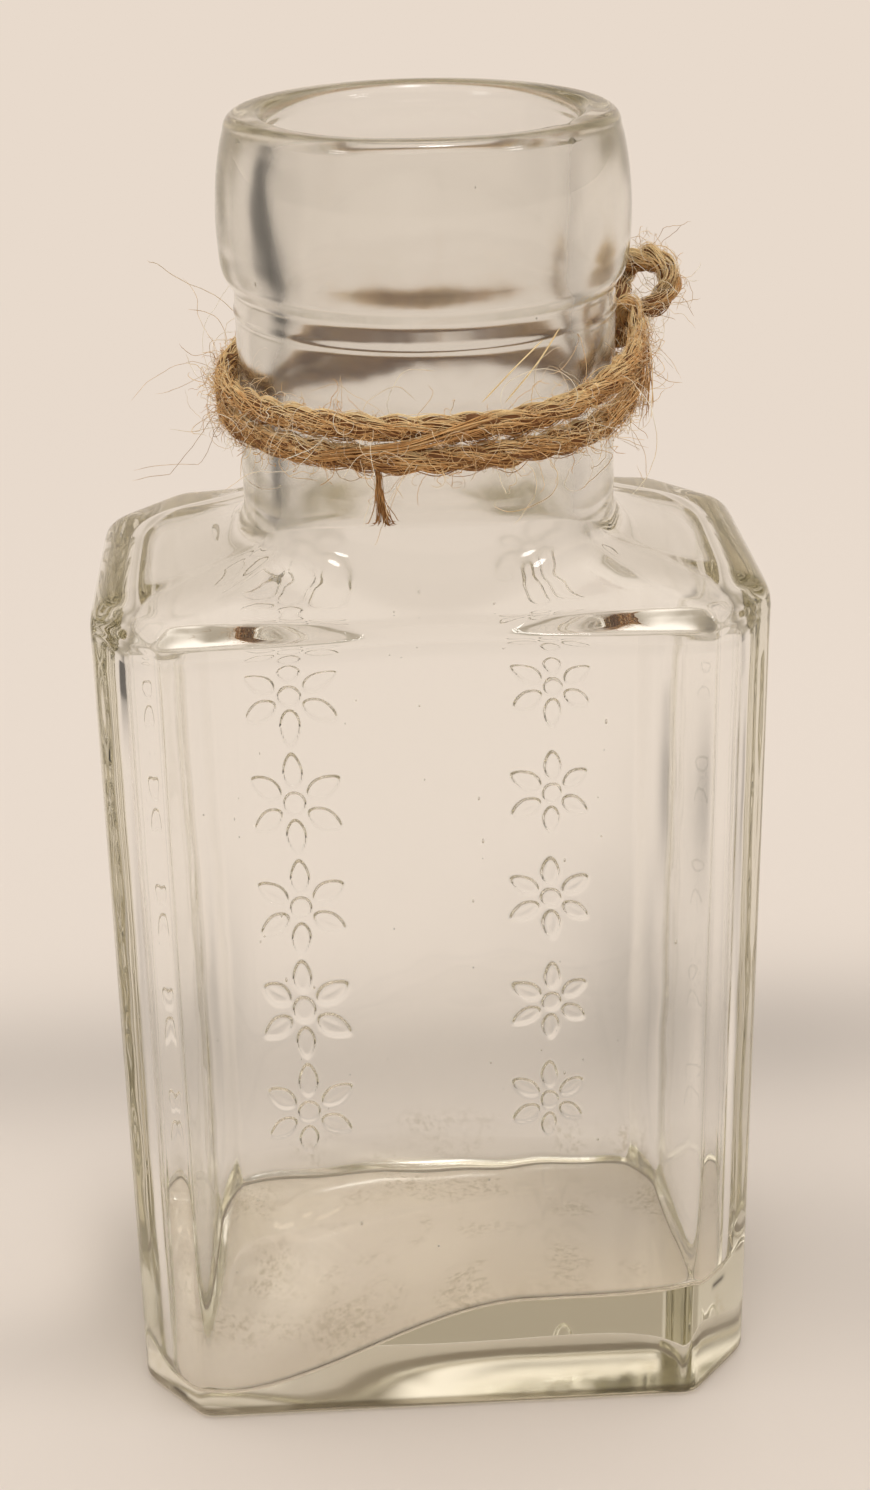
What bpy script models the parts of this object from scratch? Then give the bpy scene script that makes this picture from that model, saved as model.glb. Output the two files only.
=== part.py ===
# Rectangular glass bottle with a wide collared mouth, raised rosettes on its back
# panel and two turns of jute twine round its neck.
# Metres, +Z up. The origin is the middle of the underside, and the front faces -Y.
import math

import bmesh
import bpy
from mathutils import Vector

# Glass body
BODY_WIDTH = 0.0600
BODY_DEPTH = 0.0380
CHAMFER_ACROSS = 0.0060      # corner chamfer, measured along the width
CHAMFER_DEEP = 0.0070        # corner chamfer, measured along the depth
PANEL_HEIGHT = 0.0800        # underside to the shoulder's edge at the sides
BASE_EDGE = 0.0008           # rounding under the body
SIDE_WALL = 0.0030
PANEL_WALL = 0.0027
SHOULDER_WALL = 0.0026
CORNER_POWER = 80            # higher is a crisper outer corner
INNER_POWER = 6              # higher is a squarer inside
BASE_EDGE_STEPS = 3

# Shoulder: how far out from the neck, and how far up to it, as shares
SHOULDER_RISE = 0.0060
SHOULDER_LIFT = 0.0030       # how much higher it meets the neck over the front and back panels
SHOULDER_SHARES = (
    (0.985, 0.19), (0.945, 0.32), (0.87, 0.42), (0.65, 0.52),
    (0.36, 0.65), (0.14, 0.77), (0.04, 0.86),
)

# Neck, collar and mouth
NECK_RADIUS = 0.0167
NECK_WALL = 0.0034
NECK_LENGTH = 0.0215
COLLAR_HEIGHT = 0.0143
COLLAR_OVERHANG = 0.0013     # widest part of the collar beyond the neck
COLLAR_FOOT_DRAW = 0.0004    # the collar is narrower here than at its widest
LIP_DRAW = 0.0010            # the lip is narrower than the collar's widest part
LIP_ROUNDING = 0.0013
LIP_STEPS = 3
NECK_OFFSET = 0.0004         # the neck stands this far right of the body's middle
COLLAR_SIDE_SHARES = ((0.06, 0.7), (0.37, 1.0), (0.62, 0.8), (0.8, 0.4))

# Uneven floor of the inside
FLOOR_THIN = 0.0009          # at the front left
FLOOR_THICK = 0.0100         # at the front right
FLOOR_BACK = 0.0046
FLOOR_ROUNDING = 0.0021
FLOOR_STEPS = 3
FLOOR_RING_SHARES = (0.75, 0.45, 0.18)
SWELL_START_SHARE = -1.0     # across the half width, where the floor starts to rise
SWELL_END_SHARE = 0.45

# Facets round a quarter of the bottle
SIDE_FACETS = 3
CHAMFER_FACETS = 3
PANEL_FACETS = 6

# Raised rosettes on the back panel
RELIEF = 0.00045
RELIEF_ROOT = 0.00035        # how deep they reach into the panel
ROSETTE_PITCH = 0.0123
LOWEST_ROSETTE = 0.0122      # height of its middle
PETAL_COUNT = 6
LEFT_ROSETTE_RADIUS = 0.0061
RIGHT_ROSETTE_RADIUS = 0.0050
LEFT_COLUMN = -0.0136        # middle of the column across the panel
RIGHT_COLUMN = 0.0134
PETAL_LENGTH_SHARE = 0.72
PETAL_WIDTH_SHARE = 0.42
STUD_SHARE = 0.22
PETAL_TOP_SHARE = 0.55
PETAL_SHARES = ((1.0, 0.0), (0.45, 0.82), (-0.25, 0.95), (-1.0, 0.0), (-0.25, -0.95), (0.45, -0.82))
STUD_SHARES = ((1.0, 0.0), (0.5, 0.87), (-0.5, 0.87), (-1.0, 0.0), (-0.5, -0.87), (0.5, -0.87))

# Twine. Heights are above the foot of the neck.
TWINE_DIAMETER = 0.0017
SEAT_GAP = 0.0004
WRAP_TURNS = 2
WRAP_HIGH = 0.0141           # the upper turn at the knot, before its end climbs
WRAP_PITCH = 0.0026
WRAP_LEAN_BACK = 0.0006      # the turns sit this much higher at the back
WRAP_LEAN_LEFT = 0.0003      # and this much higher at the left
WRAP_BACK_LIFT = 0.0022      # what they ride up besides, round the back half alone
POINTS_PER_TURN = 24
FRONT_CLIMB_SHARE = 0.17     # share of a turn in which the front end climbs to the knot
BACK_CLIMB_SHARES = (1.70, 1.87)      # turns between which the back end climbs
OVERLAP_SHARES = (1.62, 1.72, 1.86, 1.96)  # turns between which it lies over the first turn
OVERLAP_GAP = 0.0006
KNOT_ANGLE = math.radians(6)
KNOT_HEIGHT = 0.0162
KNOT_LENGTH = 0.0034
KNOT_THICK = 0.0022
KNOT_TALL = 0.0036
FRONT_DROP = math.radians(18)         # how steeply each end comes up into the knot
BACK_DROP = math.radians(30)
KNOT_SEGMENTS = 12
KNOT_RINGS = 8

# Route of the hang loop: along the ring, outward and up from the middle of the knot
LOOP_ROUTE = (
    (0.0000, 0.00135, 0.00080), (0.0000, 0.00280, 0.00166), (0.0004, 0.00385, 0.00290),
    (0.0012, 0.00390, 0.00430), (0.0023, 0.00280, 0.00510), (0.0039, 0.00180, 0.00470),
    (0.0054, 0.00130, 0.00390), (0.0060, 0.00110, 0.00300), (0.0048, 0.00060, 0.00240),
    (0.0031, 0.00010, 0.00193), (0.0017, 0.00000, 0.00104),
)
LOOP_STEPS = 2

# Route of the loose ply: across, outward from the twine's middle and up from its underside
PLY_DIAMETER = 0.0009
PLY_ANGLE = math.radians(-105)
PLY_ROUTE = (
    (0.0000, 0.0002, -0.0004), (0.0000, 0.0004, -0.0014), (0.0001, 0.0006, -0.0026),
    (0.0002, 0.0008, -0.0039), (0.0004, 0.0009, -0.0052),
)
PLY_STEPS = 2

neck_foot = PANEL_HEIGHT + SHOULDER_RISE
collar_foot = neck_foot + NECK_LENGTH
height = collar_foot + COLLAR_HEIGHT
collar_radius = NECK_RADIUS + COLLAR_OVERHANG
lip_radius = collar_radius - LIP_DRAW
bore_radius = NECK_RADIUS - NECK_WALL
ring_radius = NECK_RADIUS + SEAT_GAP + TWINE_DIAMETER / 2
rosette_count = 1 + int((PANEL_HEIGHT - LEFT_ROSETTE_RADIUS - LOWEST_ROSETTE) / ROSETTE_PITCH)


def clear_scene():
    for item in list(bpy.data.objects):
        bpy.data.objects.remove(item)


def make_material(name, colour, roughness, transmission=0.0):
    material = bpy.data.materials.new(name)
    material.use_nodes = True
    shader = material.node_tree.nodes["Principled BSDF"]
    shader.inputs["Base Color"].default_value = (*colour, 1.0)
    shader.inputs["Roughness"].default_value = roughness
    shader.inputs["Metallic"].default_value = 0.0
    shader.inputs["Transmission Weight"].default_value = transmission
    material.diffuse_color = (*colour, 1.0)
    return material


def link_object(name, data, material=None):
    item = bpy.data.objects.new(name, data)
    bpy.context.scene.collection.objects.link(item)
    if material:
        data.materials.append(material)
    return item


def smooth_step(share):
    share = min(max(share, 0.0), 1.0)
    return share * share * (3 - 2 * share)


# Plan shapes: each gives the distance from the axis to the wall along an angle
def ring_angles():
    side_end = math.atan2(BODY_DEPTH / 2 - CHAMFER_DEEP, BODY_WIDTH / 2)
    panel_start = math.atan2(BODY_DEPTH / 2, BODY_WIDTH / 2 - CHAMFER_ACROSS)
    corners = (0.0, side_end, panel_start, math.pi / 2)
    quarter = []
    for start, end, facets in zip(corners, corners[1:], (SIDE_FACETS, CHAMFER_FACETS, PANEL_FACETS)):
        quarter += [start + (end - start) * step / facets for step in range(facets)]
    half = quarter + [math.pi - angle for angle in [math.pi / 2] + quarter[:0:-1]]
    return half + [angle + math.pi for angle in half]


def outer_reach(angle, inset):
    across, deep = abs(math.cos(angle)), abs(math.sin(angle))
    slant = math.hypot(CHAMFER_ACROSS, CHAMFER_DEEP)
    corner = (CHAMFER_DEEP * BODY_WIDTH / 2 + CHAMFER_ACROSS * (BODY_DEPTH / 2 - CHAMFER_DEEP)) / slant
    facing = (CHAMFER_DEEP * across + CHAMFER_ACROSS * deep) / slant
    walls = (
        across / (BODY_WIDTH / 2 - inset),
        deep / (BODY_DEPTH / 2 - inset),
        facing / (corner - inset),
    )
    nearest = max(walls)
    return sum((wall / nearest) ** CORNER_POWER for wall in walls) ** (-1 / CORNER_POWER) / nearest


def round_reach(radius):
    return lambda angle: radius


def inner_reach(angle):
    across = abs(math.cos(angle)) / (BODY_WIDTH / 2 - SIDE_WALL)
    deep = abs(math.sin(angle)) / (BODY_DEPTH / 2 - PANEL_WALL)
    return (across ** INNER_POWER + deep ** INNER_POWER) ** (-1 / INNER_POWER)


def shoulder_lift(x, y):
    side_end = math.sin(math.atan2(BODY_DEPTH / 2 - CHAMFER_DEEP, BODY_WIDTH / 2))
    return SHOULDER_LIFT * smooth_step((abs(y) / math.hypot(x, y) - side_end) / (1 - side_end))


def floor_height(x, y):
    across = x / (BODY_WIDTH / 2 - SIDE_WALL)
    deep = y / (BODY_DEPTH / 2 - PANEL_WALL)
    swell = smooth_step((across - SWELL_START_SHARE) / (SWELL_END_SHARE - SWELL_START_SHARE))
    front = FLOOR_THIN + (FLOOR_THICK - FLOOR_THIN) * swell
    return front + (FLOOR_BACK - front) * smooth_step((deep + 1) / 2)


def add_ring(mesh, angles, reach, level, shift=0.0):
    ring = []
    for angle in angles:
        x, y = reach(angle) * math.cos(angle), reach(angle) * math.sin(angle)
        ring.append(mesh.verts.new((x + shift, y, level(x, y))))
    return ring


def add_skin(mesh, rings):
    for lower, upper in zip(rings, rings[1:]):
        for index in range(len(lower)):
            after = (index + 1) % len(lower)
            mesh.faces.new((lower[index], lower[after], upper[after], upper[index]))


def flat_level(height_above):
    return lambda x, y: height_above


def shoulder_level(height_above, out):
    return lambda x, y: height_above + shoulder_lift(x, y) * (1 - out) ** 2


# The glass, one lofted skin from the underside, over the lip, to the inner floor.
# Each row is its reach from the axis, its height and its shift across.
def outer_rows():
    rows = []
    for step in range(BASE_EDGE_STEPS + 1):
        turn = math.pi / 2 * step / BASE_EDGE_STEPS
        inset, z = BASE_EDGE * (1 - math.sin(turn)), BASE_EDGE * (1 - math.cos(turn))
        rows.append((lambda angle, inset=inset: outer_reach(angle, inset), flat_level(z), 0.0))
    rows.append((lambda angle: outer_reach(angle, 0.0), flat_level(PANEL_HEIGHT), 0.0))
    for out, up in SHOULDER_SHARES:
        rows.append((
            lambda angle, out=out: NECK_RADIUS + (outer_reach(angle, 0.0) - NECK_RADIUS) * out,
            shoulder_level(PANEL_HEIGHT + SHOULDER_RISE * up, out), NECK_OFFSET * (1 - out),
        ))
    turned = [(NECK_RADIUS, collar_foot), (collar_radius - COLLAR_FOOT_DRAW, collar_foot + COLLAR_FOOT_DRAW)]
    for up, out in COLLAR_SIDE_SHARES:
        turned.append((collar_radius - LIP_DRAW * (1 - out), collar_foot + COLLAR_HEIGHT * up))
    for step in range(LIP_STEPS + 1):
        turn = math.pi / 2 * step / LIP_STEPS
        turned.append((lip_radius - LIP_ROUNDING * (1 - math.cos(turn)),
                       height - LIP_ROUNDING * (1 - math.sin(turn))))
    rows.append((round_reach(NECK_RADIUS), shoulder_level(neck_foot, 0.0), NECK_OFFSET))
    return rows + [(round_reach(radius), flat_level(z), NECK_OFFSET) for radius, z in turned]


def inner_rows():
    rows = []
    for step in range(LIP_STEPS + 1):
        turn = math.pi / 2 * step / LIP_STEPS
        radius = bore_radius + LIP_ROUNDING * (1 - math.sin(turn))
        z = height - LIP_ROUNDING * (1 - math.cos(turn))
        rows.append((round_reach(radius), flat_level(z), NECK_OFFSET))
    rows.append((round_reach(bore_radius), shoulder_level(neck_foot - SHOULDER_WALL, 0.0), NECK_OFFSET))
    for out, up in reversed(SHOULDER_SHARES):
        rows.append((
            lambda angle, out=out: bore_radius + (inner_reach(angle) - bore_radius) * out,
            shoulder_level(PANEL_HEIGHT - SHOULDER_WALL + SHOULDER_RISE * up, out), NECK_OFFSET * (1 - out),
        ))
    rows.append((inner_reach, flat_level(PANEL_HEIGHT - SHOULDER_WALL), 0.0))
    return rows


def floor_rings(mesh, angles):
    rings = []
    for step in range(FLOOR_STEPS + 1):
        turn = math.pi / 2 * step / FLOOR_STEPS
        inset = FLOOR_ROUNDING * (1 - math.cos(turn))
        lift = FLOOR_ROUNDING * (1 - math.sin(turn))
        rings.append(add_ring(
            mesh, angles, lambda angle: inner_reach(angle) - inset, lambda x, y: floor_height(x, y) + lift))
    for share in FLOOR_RING_SHARES:
        rings.append(add_ring(
            mesh, angles, lambda angle: (inner_reach(angle) - FLOOR_ROUNDING) * share, floor_height))
    return rings


def make_bottle(material):
    mesh = bmesh.new()
    angles = ring_angles()
    rings = [add_ring(mesh, angles, *row) for row in outer_rows() + inner_rows()]
    rings += floor_rings(mesh, angles)
    add_skin(mesh, rings)
    mesh.faces.new(reversed(rings[0]))
    middle = mesh.verts.new((0.0, 0.0, floor_height(0.0, 0.0)))
    for index in range(len(angles)):
        mesh.faces.new((rings[-1][index], rings[-1][(index + 1) % len(angles)], middle))
    bmesh.ops.recalc_face_normals(mesh, faces=mesh.faces)
    data = bpy.data.meshes.new("glass_bottle")
    mesh.to_mesh(data)
    mesh.free()
    data.shade_smooth()
    data.set_sharp_from_angle(angle=math.radians(40))
    return link_object("glass_bottle", data, material)


# Rosettes on the back panel, each petal and stud a low bevelled island
def add_island(mesh, shares, centre, length, width, turn):
    rings = []
    for y, scale in ((BODY_DEPTH / 2 - RELIEF_ROOT, 1.0), (BODY_DEPTH / 2 + RELIEF, PETAL_TOP_SHARE)):
        ring = []
        for along, side in shares:
            u, v = along * length / 2 * scale, side * width / 2 * scale
            x = centre[0] + u * math.cos(turn) - v * math.sin(turn)
            z = centre[1] + u * math.sin(turn) + v * math.cos(turn)
            ring.append(mesh.verts.new((x, y, z)))
        rings.append(ring)
    add_skin(mesh, rings)
    mesh.faces.new(reversed(rings[0]))
    mesh.faces.new(rings[-1])


def add_rosette(mesh, x, z, radius):
    length, width = radius * PETAL_LENGTH_SHARE, radius * PETAL_WIDTH_SHARE
    for petal in range(PETAL_COUNT):
        turn = 2 * math.pi * (petal + 0.5) / PETAL_COUNT
        out = radius - length / 2
        add_island(mesh, PETAL_SHARES, (x + out * math.cos(turn), z + out * math.sin(turn)),
                   length, width, turn)
    stud = radius * STUD_SHARE
    add_island(mesh, STUD_SHARES, (x, z), stud * 2, stud * 2, 0.0)


def add_rosettes(bottle):
    mesh = bmesh.new()
    for step in range(rosette_count):
        z = LOWEST_ROSETTE + ROSETTE_PITCH * step
        add_rosette(mesh, LEFT_COLUMN, z, LEFT_ROSETTE_RADIUS)
        add_rosette(mesh, RIGHT_COLUMN, z, RIGHT_ROSETTE_RADIUS)
    bmesh.ops.recalc_face_normals(mesh, faces=mesh.faces)
    data = bpy.data.meshes.new("rosette_guide")
    mesh.to_mesh(data)
    mesh.free()
    guide = link_object("rosette_guide", data)
    guide.hide_render = True
    guide.display_type = "WIRE"
    join = bottle.modifiers.new("rosettes", "BOOLEAN")
    join.operation = "UNION"
    join.object = guide


# Twine, all placed from the foot of the neck and carried by one empty on the neck's axis
def knot_frame():
    out = Vector((math.cos(KNOT_ANGLE), math.sin(KNOT_ANGLE), 0.0))
    along = Vector((-math.sin(KNOT_ANGLE), math.cos(KNOT_ANGLE), 0.0))
    middle = out * (NECK_RADIUS + SEAT_GAP + KNOT_THICK / 2) + Vector((0.0, 0.0, KNOT_HEIGHT))
    return middle, out, along


def wrap_height(turn):
    angle = KNOT_ANGLE - 2 * math.pi * turn
    lean = WRAP_LEAN_BACK * math.sin(angle) - WRAP_LEAN_LEFT * math.cos(angle)
    return WRAP_HIGH - WRAP_PITCH * turn + lean + WRAP_BACK_LIFT * max(0.0, math.sin(angle)) ** 2


def knot_run(side, drop):
    middle, out, along = knot_frame()
    way = along * (side * math.cos(drop)) - Vector((0.0, 0.0, math.sin(drop)))
    meet = middle + way * (KNOT_LENGTH / 2 + SEAT_GAP)
    return meet, meet + way * TWINE_DIAMETER


# Two turns from the knot's front side round to its back, the end lying over the first turn
def wrap_points():
    first, front = knot_run(-1, FRONT_DROP)
    last, back = knot_run(1, BACK_DROP)
    start = (KNOT_ANGLE - math.atan2(front.y, front.x)) / (2 * math.pi)
    end = WRAP_TURNS - (math.atan2(back.y, back.x) - KNOT_ANGLE) / (2 * math.pi)
    rise, top, fall, low = OVERLAP_SHARES
    points = [first, front]
    steps = WRAP_TURNS * POINTS_PER_TURN
    for step in range(1, steps):
        turn = start + (end - start) * step / steps
        climb = 1 - smooth_step((turn - start) / FRONT_CLIMB_SHARE)
        climb_back = smooth_step((turn - BACK_CLIMB_SHARES[0]) / (BACK_CLIMB_SHARES[1] - BACK_CLIMB_SHARES[0]))
        over = smooth_step((turn - rise) / (top - rise)) * smooth_step((low - turn) / (low - fall))
        ease = smooth_step((turn - fall) / (end - fall))
        radius = (ring_radius + (math.hypot(front.x, front.y) - ring_radius) * climb
                  + (math.hypot(back.x, back.y) - ring_radius) * ease + (TWINE_DIAMETER + OVERLAP_GAP) * over)
        z = wrap_height(turn)
        z += (front.z - z) * climb + (back.z - z) * climb_back
        angle = KNOT_ANGLE - 2 * math.pi * turn
        points.append(Vector((radius * math.cos(angle), radius * math.sin(angle), z)))
    return points + [back, last]


def least_gap(points, diameter):
    dense = []
    for start, end in zip(points, points[1:]):
        dense += [start.lerp(end, step / 4) for step in range(4)]
    lengths = [0.0]
    for start, end in zip(dense, dense[1:]):
        lengths.append(lengths[-1] + (end - start).length)
    nearest = min(
        (dense[i] - dense[j]).length
        for i in range(len(dense)) for j in range(i + 1, len(dense))
        if lengths[j] - lengths[i] > 3 * diameter
    )
    return nearest - diameter


def smooth_route(route, steps):
    points = []
    for index in range(len(route) - 1):
        before = route[index - 1] if index else route[0] * 2 - route[1]
        start, end = route[index], route[index + 1]
        after = route[index + 2] if index + 2 < len(route) else end * 2 - start
        for step in range(steps):
            t = step / steps
            points.append((
                start * 2 + (end - before) * t + (before * 2 - start * 5 + end * 4 - after) * t ** 2
                + (start * 3 - before - end * 3 + after) * t ** 3) / 2)
    return points + [route[-1]]


def make_tube(name, points, diameter, sides, material, carrier):
    data = bpy.data.curves.new(name, "CURVE")
    data.dimensions = "3D"
    data.bevel_depth = diameter / 2
    data.bevel_resolution = sides
    data.use_fill_caps = True
    spline = data.splines.new("POLY")
    spline.points.add(len(points) - 1)
    for point, place in zip(spline.points, points):
        point.co = (*place, 1.0)
    tube = link_object(name, data, material)
    tube.parent = carrier
    return tube


def make_knot(material, carrier):
    middle, out, along = knot_frame()
    mesh = bmesh.new()
    bmesh.ops.create_uvsphere(mesh, u_segments=KNOT_SEGMENTS, v_segments=KNOT_RINGS, radius=1.0)
    for vert in mesh.verts:
        vert.co = (middle + out * (vert.co.x * KNOT_THICK / 2) + along * (vert.co.y * KNOT_LENGTH / 2)
                   + Vector((0.0, 0.0, vert.co.z * KNOT_TALL / 2)))
    data = bpy.data.meshes.new("twine_knot")
    mesh.to_mesh(data)
    mesh.free()
    data.shade_smooth()
    link_object("twine_knot", data, material).parent = carrier


def make_twine(material):
    carrier = link_object("twine_turn_axis", None)
    carrier.location = (NECK_OFFSET, 0.0, neck_foot)
    wraps = wrap_points()
    make_tube("twine_wraps", wraps, TWINE_DIAMETER, 1, material, carrier)
    print("least gap between the turns, mm:", round(least_gap(wraps, TWINE_DIAMETER) * 1000, 3))
    make_knot(material, carrier)
    middle, out, along = knot_frame()
    route = [middle + along * place[0] + out * place[1] + Vector((0.0, 0.0, place[2])) for place in LOOP_ROUTE]
    loop = smooth_route(route, LOOP_STEPS)
    make_tube("hang_loop", loop, TWINE_DIAMETER, 2, material, carrier)
    turn = 1 + (KNOT_ANGLE - PLY_ANGLE) / (2 * math.pi)
    outward = Vector((math.cos(PLY_ANGLE), math.sin(PLY_ANGLE), 0.0))
    across = Vector((-outward.y, outward.x, 0.0))
    start = outward * ring_radius + Vector((0.0, 0.0, wrap_height(turn) - TWINE_DIAMETER / 2))
    route = [start + across * place[0] + outward * place[1] + Vector((0.0, 0.0, place[2])) for place in PLY_ROUTE]
    make_tube("loose_ply", smooth_route(route, PLY_STEPS), PLY_DIAMETER, 2, material, carrier)


def main():
    clear_scene()
    glass = make_material("clear_glass", (0.86, 0.88, 0.82), 0.05, 1.0)
    jute = make_material("jute", (0.42, 0.28, 0.15), 0.9)
    bottle = make_bottle(glass)
    add_rosettes(bottle)
    make_twine(jute)


main()
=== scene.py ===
from math import atan2, cos, exp, hypot, pi, radians, sin, sqrt

import bpy
import numpy as np
from mathutils import Matrix, Vector


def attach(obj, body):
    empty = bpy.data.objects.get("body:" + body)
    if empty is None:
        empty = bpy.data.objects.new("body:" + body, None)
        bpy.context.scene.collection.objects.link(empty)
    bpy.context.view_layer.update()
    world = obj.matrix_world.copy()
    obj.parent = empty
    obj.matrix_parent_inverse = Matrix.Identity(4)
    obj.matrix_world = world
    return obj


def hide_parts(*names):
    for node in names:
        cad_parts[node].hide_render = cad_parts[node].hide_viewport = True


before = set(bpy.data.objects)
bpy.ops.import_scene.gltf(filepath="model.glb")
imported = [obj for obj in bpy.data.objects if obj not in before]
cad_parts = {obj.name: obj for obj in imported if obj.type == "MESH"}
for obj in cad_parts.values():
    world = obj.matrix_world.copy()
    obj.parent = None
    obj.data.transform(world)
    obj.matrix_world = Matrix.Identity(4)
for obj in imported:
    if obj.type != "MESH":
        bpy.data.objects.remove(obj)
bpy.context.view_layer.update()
mm = 0.001


# Shader nodes: one socket, with arithmetic that adds Math nodes
class Signal:
    def __init__(self, graph, socket):
        self.graph, self.socket = graph, socket

    def output(self, place):
        return Signal(self.graph, self.socket.node.outputs[place])

    def __add__(self, other):
        return self.graph.maths("ADD", self, other)

    def __sub__(self, other):
        return self.graph.maths("SUBTRACT", self, other)

    def __rsub__(self, other):
        return self.graph.maths("SUBTRACT", other, self)

    def __mul__(self, other):
        return self.graph.maths("MULTIPLY", self, other)

    def __truediv__(self, other):
        return self.graph.maths("DIVIDE", self, other)

    def __rtruediv__(self, other):
        return self.graph.maths("DIVIDE", other, self)

    __radd__, __rmul__ = __add__, __mul__

    def atMost(self, other):
        return self.graph.maths("MINIMUM", self, other)


class Graph:  # the node tree of a material or a world
    def __init__(self, owner):
        owner.use_nodes = True
        self.tree = owner.node_tree
        self.tree.nodes.clear()

    def connect(self, value, socket):
        if isinstance(value, Signal):
            self.tree.links.new(value.socket, socket)
        elif isinstance(value, tuple) and len(value) == 3 and socket.type == "RGBA":
            socket.default_value = (*value, 1.0)
        else:
            socket.default_value = value

    def add(self, kind, settings=None, values=None, out=0):
        node = self.tree.nodes.new("ShaderNode" + kind)
        for name, value in (settings or {}).items():
            if name == "stops":
                ramp = node.color_ramp
                while len(ramp.elements) < len(value):
                    ramp.elements.new(0.5)
                for stop, (place, colour) in zip(ramp.elements, value):
                    stop.position, stop.color = place, (*colour, 1.0)
            else:
                setattr(node, name, value)
        for name, value in (values or {}).items():
            self.connect(value, node.inputs[name])
        return Signal(self, node.outputs[out] if len(node.outputs) else None)

    def blend(self, share, first, second):  # colours, by a Mix node
        return self.add("Mix", {"data_type": "RGBA"}, {0: share, 6: first, 7: second}, 2)

    def maths(self, operation, *values):
        return self.add("Math", {"operation": operation}, dict(enumerate(values)))

    def vector(self, operation, *values, out=0):  # out 0 is a vector and 1 a number
        return self.add("VectorMath", {"operation": operation}, dict(enumerate(values)), out)

    def ramp(self, value, low, high, start=0.0, end=1.0):  # a number's range onto another, eased
        return self.add("MapRange", {"interpolation_type": "SMOOTHSTEP"},
                        {0: value, 1: low, 2: high, 3: start, 4: end})

    def grain(self, size, detail=3.0, where=None, rough=0.55):  # noise, features of this size
        place = where or self.add("TexCoord", out=3)
        return self.add("TexNoise", None,
                        {"Vector": place, "Scale": 1.0 / size, "Detail": detail, "Roughness": rough})


# Mesh helpers
def addObject(name, data):
    item = bpy.data.objects.new(name, data)
    bpy.context.scene.collection.objects.link(item)
    return item


def makeObject(name, points, faces, material, smooth=True, tones=None):
    data = bpy.data.meshes.new(name)
    faces = faces.tolist() if isinstance(faces, np.ndarray) else faces
    data.from_pydata(np.asarray(points, float).tolist(), [], faces)
    if smooth:
        data.shade_smooth()
    data.materials.append(material)
    if tones is not None:
        data.attributes.new("tone", "FLOAT", "POINT").data.foreach_set("value", np.asarray(tones, np.float32))
    return addObject(name, data)


def gridFaces(count, rows, columns):  # quads between rows of points that close round, for each tube
    index = np.arange(count * rows * columns).reshape(count, rows, columns)
    after = np.roll(index, -1, axis=2)
    return np.stack([index[:, :-1], index[:, 1:], after[:, 1:], after[:, :-1]], -1).reshape(-1, 4)


def easeStep(share):
    share = np.clip(share, 0.0, 1.0)
    return share * share * (3 - 2 * share)


def easeBetween(value, start, stop):
    return easeStep((value - start) / (stop - start))


def pathLength(walk):
    return float(np.linalg.norm(np.diff(walk, axis=0), axis=1).sum())


def evenPath(walk, count):  # the same line with its points evenly spaced
    along = np.concatenate([[0], np.cumsum(np.linalg.norm(np.diff(walk, axis=0), axis=1))])
    places = np.linspace(0, along[-1], count)
    return np.stack([np.interp(places, along, walk[:, axis]) for axis in range(walk.shape[1])], 1)


def smoothPath(points, count):  # an even walk along a smooth curve through a route's points
    points = np.asarray(points, float)
    ends = np.vstack([points[0] * 2 - points[1], points, points[-1] * 2 - points[-2]])
    walk = []
    for before, start, stop, after in zip(ends, ends[1:], ends[2:], ends[3:]):
        for s in np.arange(0, 1, 1 / 16):
            square = before * 2 - start * 5 + stop * 4 - after
            cube = start * 3 - before - stop * 3 + after
            walk.append((start * 2 + (stop - before) * s + square * s ** 2 + cube * s ** 3) / 2)
    return evenPath(np.array(walk + [points[-1]]), count)


def ripple(points, size, seed, waves=14):  # smooth random swell of about this wavelength, from -1 to 1
    draw = np.random.default_rng(seed)
    ways = unit(draw.normal(size=(waves, 3))) * (2 * pi / size * draw.uniform(0.6, 1.4, waves))[:, None]
    phases = draw.uniform(0, 2 * pi, waves)
    return np.sin(np.asarray(points) @ ways.T + phases).sum(-1) / sqrt(waves * 2)


def unit(vectors):
    return vectors / np.maximum(np.linalg.norm(vectors, axis=-1, keepdims=True), 1e-12)


# Camera, where the photographer stood
shot = dict(
    place=(-10.30 * mm, -214.635 * mm, 157.268 * mm),
    right=(0.99819, -0.05785, -0.01658),
    up=(0.03849, 0.40200, 0.91483),
    ahead=(0.04626, 0.91381, -0.40350),
    focalPixels=2480.4,
    imageHeight=1490,
    sensor=36,
    clip=(0.01, 20),
)


def makeCamera():
    data = bpy.data.cameras.new("camera")
    data.sensor_width = shot["sensor"]
    data.lens = data.sensor_width * shot["focalPixels"] / shot["imageHeight"]
    data.clip_start, data.clip_end = shot["clip"]
    camera = addObject("camera", data)
    axes = Matrix((shot["right"], shot["up"], tuple(-value for value in shot["ahead"]))).transposed()
    camera.matrix_world = Matrix.Translation(shot["place"]) @ axes.to_4x4()
    bpy.context.scene.camera = camera


makeCamera()
print("camera placed")


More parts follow.
